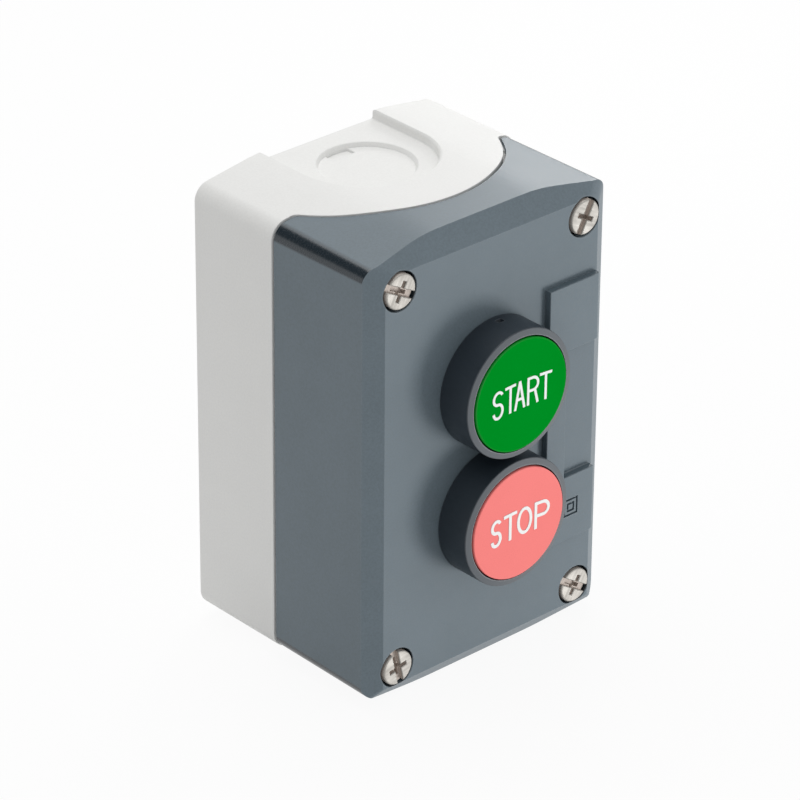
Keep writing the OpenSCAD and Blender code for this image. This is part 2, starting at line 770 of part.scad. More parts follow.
// Pair of fixed contacts that the bridge meets: open at rest, or closed at rest
module fixed_contacts(y, opens) {
    outer_x = terminal_x + 3;
    shank_hole_r = terminal_shank_r + run_gap;
    color("goldenrod") stand() for (s = [-1, 1]) difference() {
        union() {
            block(s * (elbow_x + outer_x) / 2, y, outer_x - elbow_x, strip_w, terminal_f, terminal_f + strip_t);
            if (opens) {
                block(s * (elbow_x + strip_t / 2), y, strip_t, strip_w, open_strip_f, terminal_f + strip_t);
                block(s * (contact_in + elbow_x + strip_t) / 2, y, elbow_x + strip_t - contact_in, strip_w, open_strip_f, open_strip_f + strip_t);
                rod(s * rivet_x, y, rivet_r, open_strip_f + strip_t - 0.2, open_strip_f + strip_t + rivet_t);
            } else {
                block(s * (contact_in + elbow_x + eps) / 2, y, elbow_x + eps - contact_in, strip_w, terminal_f, terminal_f + strip_t);
                rod(s * rivet_x, y, rivet_r, terminal_f - rivet_t, terminal_f + 0.2);
            }
        }
        rod(s * terminal_x, y, shank_hole_r, terminal_f - 1, terminal_f + strip_t + 1);
    }
}

module terminal_screws() {
    seat = terminal_f + strip_t + clamp_t;
    slot = 0.6;
    color("silver") stand() for (sx = [-1, 1], sy = [-1, 1]) difference() {
        union() {
            rod(sx * terminal_x, sy * button_y, terminal_head_r, seat, seat + terminal_head_h);
            rod(sx * terminal_x, sy * button_y, terminal_shank_r, seat - terminal_shank_l, seat + eps);
        }
        block(sx * terminal_x, sy * button_y, 3 * terminal_head_r, slot, seat + terminal_head_h - 0.9, seat + terminal_head_h + 1);
    }
}

// Square plates that press the wires onto the fixed contacts
module terminal_clamps() {
    seat = terminal_f + strip_t;
    color("silver") stand() for (sx = [-1, 1], sy = [-1, 1]) difference() {
        block(sx * terminal_x, sy * button_y, clamp_side, clamp_side, seat, seat + clamp_t);
        rod(sx * terminal_x, sy * button_y, terminal_shank_r + run_gap, seat - 1, seat + clamp_t + 1);
    }
}

rear_casing();
front_cover();
cover_seal();
cover_screws();
screw_retainers();
bezel(button_y);  // start_bezel
bezel(-button_y);  // stop_bezel
panel_seal(button_y);  // start_panel_seal
panel_seal(-button_y);  // stop_panel_seal
nut(button_y);  // start_nut
nut(-button_y);  // stop_nut
stem_seal(button_y);  // start_stem_seal
stem_seal(-button_y);  // stop_stem_seal
cap(button_y, "green");  // start_cap
cap(-button_y, "salmon");  // stop_cap
start_legend();
stop_legend();
stem(button_y);  // start_stem
stem(-button_y);  // stop_stem
stem_ring(button_y);  // start_stem_ring
stem_ring(-button_y);  // stop_stem_ring
return_spring(button_y);  // start_return_spring
return_spring(-button_y);  // stop_return_spring
block_base(button_y);  // start_block_base
block_base(-button_y);  // stop_block_base
block_housing(button_y, true);  // start_block_housing
block_housing(-button_y, false);  // stop_block_housing
plunger(button_y, open_bridge_f - run_gap, open_bridge_f + bridge_t + contact_spring_l, "green");  // start_plunger
plunger(-button_y, closed_window_rear, closed_bridge_f + bridge_t + slip + run_gap, "red");  // stop_plunger
plunger_spring(button_y);  // start_plunger_spring
plunger_spring(-button_y);  // stop_plunger_spring
bridge(button_y, open_bridge_f, open_bridge_f - rivet_t);  // start_bridge
bridge(-button_y, closed_bridge_f, closed_bridge_f + bridge_t - 0.2);  // stop_bridge
contact_spring(button_y, open_bridge_f + bridge_t, open_bridge_f + bridge_t + contact_spring_l);  // start_contact_spring
contact_spring(-button_y, closed_window_rear, closed_bridge_f);  // stop_contact_spring
fixed_contacts(button_y, true);  // start_fixed_contacts
fixed_contacts(-button_y, false);  // stop_fixed_contacts
terminal_screws();
terminal_clamps();
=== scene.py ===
from math import atan2, cos, degrees, pi, radians, sin, sqrt, tan

import bmesh
import bpy
from mathutils import Matrix, Vector


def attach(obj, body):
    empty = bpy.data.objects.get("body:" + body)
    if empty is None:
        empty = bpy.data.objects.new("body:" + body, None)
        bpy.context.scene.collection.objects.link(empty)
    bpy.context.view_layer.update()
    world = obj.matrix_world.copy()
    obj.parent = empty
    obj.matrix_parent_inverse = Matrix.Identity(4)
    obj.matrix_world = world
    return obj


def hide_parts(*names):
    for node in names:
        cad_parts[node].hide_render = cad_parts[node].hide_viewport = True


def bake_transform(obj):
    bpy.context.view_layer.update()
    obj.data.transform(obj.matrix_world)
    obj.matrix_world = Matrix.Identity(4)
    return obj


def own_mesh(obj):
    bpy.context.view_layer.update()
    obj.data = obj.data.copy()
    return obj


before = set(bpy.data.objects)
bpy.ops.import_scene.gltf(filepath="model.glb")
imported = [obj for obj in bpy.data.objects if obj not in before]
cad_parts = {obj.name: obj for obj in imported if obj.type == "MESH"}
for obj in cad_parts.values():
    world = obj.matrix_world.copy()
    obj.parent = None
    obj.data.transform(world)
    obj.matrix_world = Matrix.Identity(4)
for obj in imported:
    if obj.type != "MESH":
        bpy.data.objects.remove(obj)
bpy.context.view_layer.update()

# Rear casing. A tub of light grey ABS, injection moulded, that is screwed to the wall through its floor.
# Its ends are crowned and run forward in a tongue under the cover; each has a sunk knock-out for a gland.
# All shapes here are in millimetres: x across, z up, and f the distance forward from the wall.


def oval(cx, cz, rx, rz, start, sweep, steps=20):
    """Points on an ellipse, from one angle over a sweep, both in degrees."""
    turns = [radians(start + sweep * k / steps) for k in range(steps + 1)]
    return [(cx + rx * cos(t), cz + rz * sin(t)) for t in turns]


def arc(cx, cz, radius, start, sweep, steps):
    """Points on a circle, as on an ellipse."""
    return oval(cx, cz, radius, radius, start, sweep, steps)


# Each end is flat for crown_half to both sides of its middle, then bends softly and slopes down by crown_drop.
half_width, half_height = 34.0, 53.0
crown_drop, crown_half, crown_bend = 2.0, 16.5, 4.5
edge_radius, least_radius = 4.0, 0.8


def outline(inset, radius=edge_radius):
    """The box's outline from the front, moved inwards, with its corners rounded into the sloping crown."""
    w, top = half_width - inset, half_height - inset
    r = max(radius - inset, least_radius)
    lean = atan2(crown_drop, half_width - edge_radius - crown_half)
    cz = top - (r + (w - r - crown_half) * sin(lean)) / cos(lean)
    corner = arc(w - r, cz, r, 0, 90 - degrees(lean), 14)
    bend = [(crown_half + crown_bend * (1 - 2 * s), top - crown_bend * (1 - s) ** 2 * tan(lean))
            for s in (0, 0.25, 0.5, 0.75, 1)]
    right_top = corner + bend
    half = right_top + [(-x, z) for x, z in right_top[::-1]]
    return half + [(-x, -z) for x, z in half]


def standing(name, data):
    """Puts a mesh, a lamp or a camera into the scene as an object."""
    made = bpy.data.objects.new(name, data)
    bpy.context.scene.collection.objects.link(made)
    return made


def lofted(name, rings, closed=False):
    """A solid through rings of (x, f, z) points in millimetres; a closed one runs back to its first ring."""
    shape = bmesh.new()
    rows = [[shape.verts.new((x, -f, z)) for x, f, z in ring] for ring in rings]
    for near, far in list(zip(rows, rows[1:])) + ([(rows[-1], rows[0])] if closed else []):
        count = max(len(near), len(far))
        for k in range(count):
            n = (k + 1) % count
            around = [near[k % len(near)], near[n % len(near)], far[n % len(far)], far[k % len(far)]]
            around = list(dict.fromkeys(around))
            if len(around) > 2:
                shape.faces.new(around)
    if not closed:
        for row in (rows[0], rows[-1]):
            if len(row) > 2:
                shape.faces.new(row)
    bmesh.ops.recalc_face_normals(shape, faces=shape.faces)
    bmesh.ops.scale(shape, vec=(0.001, 0.001, 0.001), verts=shape.verts)
    mesh = bpy.data.meshes.new(name)
    shape.to_mesh(mesh)
    shape.free()
    return standing(name, mesh)


def forward(name, layers):
    """A solid built up along the depth, from (outline points, depth) layers."""
    return lofted(name, [[(x, f, z) for x, z in points] for points, f in layers])


def upward(name, layers):
    """A solid built up along the height, from (points in x and f, height) layers."""
    return lofted(name, [[(x, f, z) for x, f in points] for points, z in layers])


def brick(name, x0, x1, f0, f1, z0, z1):
    """A plain block between two values each of x, f and z."""
    return upward(name, [([(x0, f0), (x1, f0), (x1, f1), (x0, f1)], z) for z in (z0, z1)])


def turned(name, x, z, profile, steps=96, start=0.0):
    """A solid of revolution about the depth axis, from (radius, depth) points."""
    rings = []
    for radius, f in profile:
        if radius < 1e-6:
            rings.append([(x, f, z)])
        else:
            rings.append([(px, f, pz) for px, pz in arc(x, z, radius, start, 360, steps)[:-1]])
    return lofted(name, rings, closed=all(radius > 1e-6 for radius, f in profile))


def softened(path, steps=4, closed=True):
    """Rounds the corners of a path of (a, b, radius) points."""
    soft = []
    for k, (a, b, radius) in enumerate(path):
        if radius == 0 or (not closed and k in (0, len(path) - 1)):
            soft.append((a, b))
            continue
        here = Vector((a, b))
        back = Vector(path[k - 1][:2]) - here
        on = Vector(path[(k + 1) % len(path)][:2]) - here
        half = back.angle(on) / 2
        reach = min(radius / tan(half), 0.49 * back.length, 0.49 * on.length)
        first, last = here + back.normalized() * reach, here + on.normalized() * reach
        for s in range(steps + 1):
            t = s / steps
            soft.append(tuple(first * (1 - t) ** 2 + here * 2 * t * (1 - t) + last * t * t))
    return soft


def worked(piece, tool, how):
    """Cuts, joins or meets a piece with a tool, which is used up."""
    step = piece.modifiers.new(how.lower(), "BOOLEAN")
    step.operation = how
    step.solver = "EXACT"
    step.object = tool
    graph = bpy.context.evaluated_depsgraph_get()
    mesh = bpy.data.meshes.new_from_object(piece.evaluated_get(graph))
    piece.modifiers.clear()
    piece.data = mesh
    bpy.data.objects.remove(tool)
    return piece


def gathered(name, pieces):
    """Puts pieces that don't touch into one object."""
    shape = bmesh.new()
    for piece in pieces:
        shape.from_mesh(piece.data)
        bpy.data.objects.remove(piece)
    mesh = bpy.data.meshes.new(name)
    shape.to_mesh(mesh)
    shape.free()
    return standing(name, mesh)


def eased(piece, width, chosen):
    """Rounds the chosen edges, as a tool's corners leave them."""
    shape = bmesh.new()
    shape.from_mesh(piece.data)
    bmesh.ops.remove_doubles(shape, verts=shape.verts, dist=1e-6)
    edges = [e for e in shape.edges if len(e.link_faces) == 2 and chosen(e)]
    bmesh.ops.bevel(shape, geom=edges, offset=width / 1000, segments=3, profile=0.5, affect="EDGES",
                    clamp_overlap=True)
    shape.to_mesh(piece.data)
    shape.free()
    return piece


def sharp(limit, ahead=-100):
    """Chooses edges where the surface turns by more than a limit in degrees, and that lie ahead of a depth."""
    return lambda edge: (edge.calc_face_angle(0) > radians(limit)
                         and max(v.co.y for v in edge.verts) < -ahead / 1000)


# The seam runs straight round the sides, and bulges forward over the tongue in an arc across each end.
seam_f, tongue, tongue_shift = 24.8, 17.5, 0.6
bend_reach, bend_rise = 1.6, 0.4
tongue_chord = half_width - 5.6
tongue_radius = (tongue_chord ** 2 + tongue ** 2) / (2 * tongue)
tongue_centre = seam_f + tongue - tongue_radius


def seam_at(x, extra, shift):
    """Depth of the seam at a place across the box: straight, then in a soft bend up the bulge.
    extra sets the whole seam further forward, and shift moves the bulge to the right."""
    reach = (tongue_radius + extra) ** 2 - (x - shift) ** 2
    bow = tongue_centre + sqrt(reach) if reach > 0 else 0
    low = seam_f + extra
    near = max(1 - abs(bow - low) / bend_reach, 0)
    return max(low, bow) + bend_rise * near * near


def behind(extra, shift=tongue_shift):
    """Everything on the wall side of the seam, as a block that reaches well past the box."""
    side, back, end, steps = 60, -5, 80, 110
    meet = sqrt((tongue_radius + extra) ** 2 - (seam_f + extra - bend_reach - tongue_centre) ** 2)
    xs = [shift + meet * cos(pi * k / steps) for k in range(steps + 1)]
    points = [(side, back), (side, seam_f + extra)] + [(x, seam_at(x, extra, shift)) for x in xs]
    points += [(-side, seam_f + extra), (-side, back)]
    return upward("seam_tool", [(points, -end), (points, end)])


def on_rim(extra, shift=tongue_shift):
    """Chooses the outer edge that the seam leaves: it lies on the seam, with one upright face beside it."""
    slack = 0.02

    def test(edge):
        near = all(abs(-v.co.y * 1000 - seam_at(v.co.x * 1000, extra, shift)) < slack for v in edge.verts)
        flat = [abs(face.normal.y) < slack for face in edge.link_faces]
        return near and flat.count(True) == 1
    return test


def linear(colour):
    """An sRGB hex colour as linear values."""
    parts = [int(colour[k:k + 2], 16) / 255 for k in (1, 3, 5)]
    return [v / 12.92 if v <= 0.04045 else ((v + 0.055) / 1.055) ** 2.4 for v in parts] + [1.0]


def add(material, kind, settings={}, links={}):
    """Adds a node, sets its properties and inputs, and links its inputs."""
    made = material.node_tree.nodes.new(kind)
    for key, value in settings.items():
        if isinstance(key, str) and hasattr(made, key):
            setattr(made, key, value)
        else:
            made.inputs[key].default_value = value
    for key, (source, output) in links.items():
        material.node_tree.links.new(source.outputs[output], made.inputs[key])
    return made


def blank(name):
    """A material with nothing in it yet."""
    made = bpy.data.materials.new(name)
    made.use_nodes = True
    made.node_tree.nodes.clear()
    return made


def eroded_plastic(name, dark, light, roughness, grain, relief, ior=1.54, painted_front_light=0.0, sparkle=0.0, shine=0.5,
                   polish_and_shade=0.0, matt_front=0.0):
    """Moulded plastic from a spark-eroded tool: an even matt grain, with faint cloudy flow marks in the
    colour and edges that handling has worn paler and smoother. grain is the size of a crater in
    millimetres, a few times the real 0.1 mm so that it shows in the render, and relief is its depth.
    painted_front_light lightens the front faces with a painted highlight, and sparkle deepens the grain on
    the front chamfers. polish_and_shade smooths the long rounded edges, where the tool is left smooth, and
    darkens them with a painted dark reflection. matt_front adds roughness to the front, which can take a
    deeper grain than the walls that slide out of the tool."""
    made = blank(name)
    flow_size, worn_radius = 14.0, 0.0005
    # One pale tone serves the worn edges and the painted highlight on the fronts; the dark one is a painted
    # reflection on the long edges.
    wear_and_light_tone, painted_reflection_tone = linear("#A4ABB1"), linear("#222B32")
    plain_depth, chamfer_turn = 0.35, 0.77
    # Cloudy flow marks and fine craters mix the two tones.
    place = add(made, "ShaderNodeTexCoord")
    flow = add(made, "ShaderNodeTexNoise", {"Scale": 1000 / flow_size, "Detail": 3.0},
               {"Vector": (place, "Object")})
    craters = add(made, "ShaderNodeTexNoise", {"Scale": 1000 / grain, "Detail": 2.0, "Roughness": 0.65},
                  {"Vector": (place, "Object")})
    specks = add(made, "ShaderNodeMix", {"data_type": "FLOAT", 0: 0.7},
                 {2: (flow, "Fac"), 3: (craters, "Fac")})
    tone = add(made, "ShaderNodeMapRange", {"From Min": 0.36, "From Max": 0.64}, {"Value": (specks, 0)})
    ground = add(made, "ShaderNodeMix", {"data_type": "RGBA", 6: linear(dark), 7: linear(light)},
                 {0: (tone, "Result")})
    # Wear shows where a rounded normal leaves the face's own; a painted highlight pales the fronts.
    round_edge = add(made, "ShaderNodeBevel", {"samples": 4, "Radius": worn_radius})
    face = add(made, "ShaderNodeNewGeometry")
    turn = add(made, "ShaderNodeVectorMath", {"operation": "DOT_PRODUCT"},
               {0: (round_edge, 0), 1: (face, "Normal")})
    edge = add(made, "ShaderNodeMapRange", {"From Min": 0.995, "From Max": 0.86}, {"Value": (turn, "Value")})
    wear = add(made, "ShaderNodeMath", {"operation": "MULTIPLY"}, {0: (edge, "Result"), 1: (flow, "Fac")})
    axes = add(made, "ShaderNodeSeparateXYZ", {}, {0: (face, "Normal")})
    front = add(made, "ShaderNodeMapRange", {"From Min": -0.9, "From Max": -0.95, "To Max": painted_front_light},
                {"Value": (axes, "Y")})
    pale = add(made, "ShaderNodeMath", {"operation": "MULTIPLY_ADD", 1: 0.3},
               {0: (wear, 0), 2: (front, "Result")})
    colour = add(made, "ShaderNodeMix", {"data_type": "RGBA", 7: wear_and_light_tone}, {0: (pale, 0), 6: (ground, 2)})
    # The long rounded edges face sideways and up or down, and lie behind the mitred corners.
    sideways = add(made, "ShaderNodeMath", {"operation": "ABSOLUTE"}, {0: (axes, "X")})
    upright = add(made, "ShaderNodeMath", {"operation": "ABSOLUTE"}, {0: (axes, "Z")})
    upper = add(made, "ShaderNodeMapRange", {"From Min": 0.2, "From Max": 0.5, "To Max": polish_and_shade},
                {"Value": (sideways, 0)})
    lower = add(made, "ShaderNodeMapRange", {"From Min": 0.02, "From Max": 0.16}, {"Value": (upright, 0)})
    behind_mitre = add(made, "ShaderNodeMapRange", {"From Min": -0.3, "From Max": -0.1},
                       {"Value": (axes, "Y")})
    long_edge = add(made, "ShaderNodeMath", {"operation": "MULTIPLY"},
                    {0: (upper, "Result"), 1: (lower, "Result")})
    long_edge = add(made, "ShaderNodeMath", {"operation": "MULTIPLY"},
                    {0: (long_edge, 0), 1: (behind_mitre, "Result")})
    # The long rounded edges take a painted dark reflection in their colour.
    colour = add(made, "ShaderNodeMix", {"data_type": "RGBA", 7: painted_reflection_tone},
                 {0: (long_edge, 0), 6: (colour, 2)})
    # Gloss: craters vary it, wear and polish smooth it, and the front is rougher.
    gloss = add(made, "ShaderNodeMapRange", {"From Min": 0.3, "From Max": 0.7, "To Min": roughness - 0.06,
                                             "To Max": roughness + 0.06}, {"Value": (craters, "Fac")})
    smooth = add(made, "ShaderNodeMath", {"operation": "MULTIPLY_ADD", 1: -0.12},
                 {0: (wear, 0), 2: (gloss, "Result")})
    smooth = add(made, "ShaderNodeMath", {"operation": "MULTIPLY_ADD", 1: -0.15},
                 {0: (long_edge, 0), 2: (smooth, 0)})
    deeper = add(made, "ShaderNodeMapRange", {"From Min": -0.86, "From Max": -0.95, "To Max": matt_front},
                 {"Value": (axes, "Y")})
    smooth = add(made, "ShaderNodeMath", {"operation": "ADD"}, {0: (smooth, 0), 1: (deeper, "Result")})
    # Relief: shallow on plain faces, deep on the chamfers, and gone on the polished edges.
    grainy = add(made, "ShaderNodeMapRange", {"From Max": 0.4, "To Min": 1.0, "To Max": 1.0 - polish_and_shade},
                 {"Value": (long_edge, 0)})
    steep = add(made, "ShaderNodeMath", {"operation": "ADD", 1: chamfer_turn}, {0: (axes, "Y")})
    steep = add(made, "ShaderNodeMath", {"operation": "ABSOLUTE"}, {0: (steep, 0)})
    slope = add(made, "ShaderNodeMapRange", {"From Min": 0.14, "From Max": 0.08, "To Min": plain_depth,
                                             "To Max": plain_depth + sparkle}, {"Value": (steep, 0)})
    depth = add(made, "ShaderNodeMath", {"operation": "MULTIPLY"},
                {0: (slope, "Result"), 1: (grainy, "Result")})
    pits = add(made, "ShaderNodeBump", {"Distance": relief / 1000},
               {"Height": (craters, "Fac"), "Strength": (depth, 0)})
    skin = add(made, "ShaderNodeBsdfPrincipled", {"IOR": ior, "Specular IOR Level": shine},
               {"Base Color": (colour, 2), "Roughness": (smooth, 0), "Normal": (pits, "Normal")})
    add(made, "ShaderNodeOutputMaterial", {}, {"Surface": (skin, "BSDF")})
    return made


def fitted(piece, body, slot, material, *nodes):
    """Shades a finished piece, gives it its material and hangs it on its body, if it moves with one."""
    crease = 34
    bpy.context.view_layer.objects.active = piece
    for face in piece.data.polygons:
        face.use_smooth = True
    piece.data.set_sharp_from_angle(angle=radians(crease))
    piece.data.materials.clear()
    piece.data.materials.append(material)
    # Large faces with many corners shade black unless they are cut into triangles first.
    step = piece.modifiers.new("cut_faces", "TRIANGULATE")
    step.min_vertices = 5
    step = piece.modifiers.new("flat_faces", "WEIGHTED_NORMAL")
    step.keep_sharp = True
    if body:
        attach(piece, body)
    if nodes:
        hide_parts(*nodes)
    return piece


# Light grey ABS from a finely eroded tool: nearly white and matt, with no more than a broad soft sheen.
casing_abs = eroded_plastic("light_grey_abs", "#EBEBE9", "#F0F0EE", roughness=0.55, grain=0.5, relief=0.008,
                            shine=0.3)
back_radius = 0.5
round_back = [(back_radius * (1 - sin(radians(a))), back_radius * (1 - cos(radians(a))))
              for a in (0, 22.5, 45, 67.5, 90)]
casing = forward("rear_casing_shell", [(outline(t), f) for t, f in round_back] + [(outline(0), 60)])
worked(casing, behind(0), "INTERSECT")
seam_edge = 0.22
eased(casing, seam_edge, on_rim(0))

# A thinner lip stands up inside the seam. It is cut away at the tongue's shoulders, where the gap shows dark.
corners = [(sx, sz) for sx in (1, -1) for sz in (1, -1)]
lip_inset, lip_rise = 1.45, 1.8
gap_near, gap_far, gap_inner, gap_outer = 14, 27, 49.5, 54
wall = 2.6
lip = worked(forward("casing_lip", [(outline(lip_inset), 2), (outline(lip_inset), 60)]), behind(lip_rise, 0),
             "INTERSECT")
gaps = [brick("gap", sx * gap_near, sx * gap_far, 20, 50, sz * gap_inner, sz * gap_outer)
        for sx, sz in corners]
worked(lip, gathered("lip_gaps", gaps), "DIFFERENCE")
worked(casing, lip, "UNION")
worked(casing, forward("casing_hollow", [(outline(wall), wall), (outline(wall), 70)]), "DIFFERENCE")

# Inside: a pad behind each recess, a pillar for each cover screw, a rim round each wall hole, and ribs that
# locate the contact blocks. All start within the floor.
ends = (1, -1)
in_floor = 1
recess_half, recess_f, recess_floor = 15.8, 15.0, 50.8
pad_edge, pad_inner, pad_outer = 2.5, 48.2, 51.6
screw_x, screw_z, button_z = 25.8, 44.46, 15.3
pillar_radius, pillar_top = 5.6, 25.9
hole_x, hole_z = 15, 43
rim_radius, rim_top = 4.45, 3.6
rib_near, rib_far, rib_top, rib_reach = 20.3, 21.5, 8.6, 7


def tongue_shape(half, start):
    """A U open to the wall, in x and f."""
    return [(half, start)] + arc(0, recess_f, half, 0, 180, 48) + [(-half, start)]


def round_post(name, x, z, radius, top, ease, steps):
    """A post on the floor, with its top edge rounded."""
    profile = [(0, in_floor, 0), (radius, in_floor, 0), (radius, top, ease), (0, top, 0)]
    return turned(name, x, z, softened(profile, closed=False), steps)


pads = [upward("pad", [(tongue_shape(recess_half + pad_edge, in_floor), z * s)
                       for z in (pad_inner, pad_outer)]) for s in ends]
pillars = [round_post("pillar", sx * screw_x, sz * screw_z, pillar_radius, pillar_top, ease=0.4, steps=64)
           for sx, sz in corners]
rims = [round_post("rim", sx * hole_x, sz * hole_z, rim_radius, rim_top, ease=0.3, steps=48)
        for sx, sz in corners]
ribs = [eased(brick("rib", sx * rib_near, sx * rib_far, in_floor, rib_top, sz * button_z - rib_reach,
                    sz * button_z + rib_reach), 0.25, sharp(60)) for sx, sz in corners]
worked(casing, gathered("casing_inside", pads + pillars + rims + ribs), "UNION")

# The recess and the knock-out's pocket are cut from each end in (step outwards, height) layers that round
# their floors and rims.
knockout_f, knockout_radius, disc_floor = 16.0, 10.5, 49.8
recess_round = [(-0.4, recess_floor), (-0.12, 50.92), (0, 51.2), (0, 52.2), (0.06, 52.5), (0.23, 52.77),
                (0.5, 52.94), (0.8, 53.005), (1.4, 53.3), (1.4, 60)]
worked(casing, gathered("recess_tool", [
    upward("recess", [(tongue_shape(recess_half + t, -1), z * s) for t, z in recess_round]) for s in ends]),
    "DIFFERENCE")
pocket_round = [(-0.45, disc_floor), (-0.26, 49.86), (-0.2, 50.05), (0.15, 50.6), (0.25, 50.72), (0.42, 50.8),
                (0.8, 51), (0.8, 52)]
worked(casing, gathered("knockout_tool", [
    upward("disc", [(arc(0, knockout_f, knockout_radius + t, 0, 360, 96)[:-1], z * s)
                    for t, z in pocket_round]) for s in ends]), "DIFFERENCE")


def notch_shape(half, end):
    """The pry notch in x and f; its back is the pocket's own wall."""
    lean = degrees(atan2(half, 9.8))
    return arc(0, knockout_f, knockout_radius - 0.32, -90 - lean, 2 * lean, 12) + [(half, end), (-half, end)]


pry_half, pry_end = 3.1, 8.6
pry_round = [(0, 49.3), (0, 49.7), (0.12, 49.82), (0.12, 50.5)]
worked(casing, gathered("pry_tool", [
    upward("pry", [(notch_shape(pry_half + t, pry_end + t), z * s) for t, z in pry_round]) for s in ends]),
    "DIFFERENCE")

# Holes from the front and the back: pilot bores in the pillars, wall holes with a lead-in, and shallow cores
# that keep the back from sinking. A score inside each end lets the disc be knocked out.
bore_profile = [(0, 11.9), (2.05, 11.9), (2.05, 25.6), (2.6, 26.2), (2.6, 27), (0, 27)]
hole_profile = [(0, -1), (2.15, -1), (2.15, 3.3), (2.6, 3.8), (2.6, 5), (0, 5)]
core_half, core_z, core_reach, core_depth = 26, 21.275, 15.275, 0.6
score_section = [(10.1, 47.8), (10.1, 48.9), (11.0, 48.9), (11.0, 47.8)]
bores = [turned("bore", sx * screw_x, sz * screw_z, bore_profile, steps=48) for sx, sz in corners]
wall_holes = [turned("wall_hole", sx * hole_x, sz * hole_z, hole_profile, steps=48) for sx, sz in corners]
cores = [eased(brick("core", -core_half, core_half, -1, core_depth, s * core_z - core_reach,
                     s * core_z + core_reach), 0.4, sharp(60)) for s in ends]
worked(casing, gathered("casing_holes", bores + wall_holes + cores), "DIFFERENCE")
scores = [lofted("score", [[(x, f, z * s) for x, f in arc(0, knockout_f, radius, 0, 360, 96)[:-1]]
                           for radius, z in score_section], closed=True) for s in ends]
worked(casing, gathered("score_tool", scores), "DIFFERENCE")
fitted(casing, "casing", "light_casing", casing_abs, "rear_casing")

# Contact blocks. Each is a glass-filled polyamide housing on a base plate that clips to the casing's floor.
# The plunger's window carries a brass bridge: under START it closes two fixed contacts, under STOP it opens
# them. The screws and clamps of the terminals are plated steel.

# The glass-filled grade is dull and a little cloudy; the plungers' unfilled grade is smoother and brighter.
block_nylon = eroded_plastic("glass_filled_polyamide", "#5B5D60", "#6A6C6F", roughness=0.55, grain=0.7,
                             relief=0.02, ior=1.53)
green_nylon = eroded_plastic("green_polyamide", "#1C7A3C", "#27894A", roughness=0.45, grain=0.6,
                             relief=0.01, ior=1.53)
red_nylon = eroded_plastic("red_polyamide", "#A81E22", "#B82A2C", roughness=0.45, grain=0.6,
                           relief=0.01, ior=1.53)


def worked_metal(name, dark, light, roughness, streak, relief, sunk_matt=0.0):
    """Metal with fine marks from drawing or stamping, all along one way. streak is the spacing of the marks
    in millimetres, drawn coarser than the real 0.05 mm so that they show, and relief is their depth.
    sunk_matt is how far a pale brownish matt tone takes the place of the bare metal behind the panel's face."""
    made = blank(name)
    cloud_size, stretch = 5.0, 0.12
    sunk_tone = linear("#C9BDB4")
    place = add(made, "ShaderNodeTexCoord")
    along = add(made, "ShaderNodeMapping", {"Scale": (1.0, 1.0, stretch)}, {"Vector": (place, "Object")})
    marks = add(made, "ShaderNodeTexNoise", {"Scale": 1000 / streak, "Detail": 4.0},
                {"Vector": (along, "Vector")})
    cloud = add(made, "ShaderNodeTexNoise", {"Scale": 1000 / cloud_size, "Detail": 2.0},
                {"Vector": (place, "Object")})
    colour = add(made, "ShaderNodeMix", {"data_type": "RGBA", 6: linear(dark), 7: linear(light)},
                 {0: (cloud, "Fac")})
    gloss = add(made, "ShaderNodeMapRange", {"From Min": 0.25, "From Max": 0.75, "To Min": roughness - 0.08,
                                             "To Max": roughness + 0.1}, {"Value": (marks, "Fac")})
    lines = add(made, "ShaderNodeBump", {"Strength": 0.6, "Distance": relief / 1000},
                {"Height": (marks, "Fac")})
    axes = add(made, "ShaderNodeSeparateXYZ", {}, {"Vector": (place, "Object")})
    sunk = add(made, "ShaderNodeMapRange", {"From Min": -0.0552, "From Max": -0.0549, "To Max": sunk_matt},
               {"Value": (axes, "Y")})
    colour = add(made, "ShaderNodeMix", {"data_type": "RGBA", 7: sunk_tone},
                 {0: (sunk, "Result"), 6: (colour, 2)})
    bare = add(made, "ShaderNodeMath", {"operation": "SUBTRACT", 0: 1.0}, {1: (sunk, "Result")})
    skin = add(made, "ShaderNodeBsdfPrincipled", {},
               {"Base Color": (colour, 2), "Metallic": (bare, 0), "Roughness": (gloss, "Result"),
                "Normal": (lines, "Normal")})
    add(made, "ShaderNodeOutputMaterial", {}, {"Surface": (skin, "BSDF")})
    return made


# Stamped brass gleams warm. Nickel plating is a soft grey, pale brownish and matt in its slots and behind
# the panel. Spring steel is darker and finely streaked.
brass = worked_metal("stamped_brass", "#B98F4A", "#D2AE68", roughness=0.32, streak=0.25, relief=0.004)
nickel = worked_metal("nickel_plated_steel", "#96938E", "#AFACA7", roughness=0.6, streak=0.6, relief=0.03,
                      sunk_matt=0.8)
spring_steel = worked_metal("drawn_spring_steel", "#8F8C86", "#A8A59E", roughness=0.36, streak=0.1,
                            relief=0.003)


def kept(node, material, edge):
    """A CAD piece that stays, with its edges broken as the tool leaves them."""
    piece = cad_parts[node]
    piece.data.materials.clear()
    piece.data.materials.append(material)
    weld = piece.modifiers.new("weld", "WELD")
    weld.merge_threshold = 2e-6
    step = piece.modifiers.new("edges", "BEVEL")
    step.width = edge / 1000
    step.segments = 2
    step.limit_method = "ANGLE"
    step.angle_limit = radians(40)
    step.use_clamp_overlap = True
    flat = piece.modifiers.new("flat_faces", "WEIGHTED_NORMAL")
    flat.keep_sharp = False


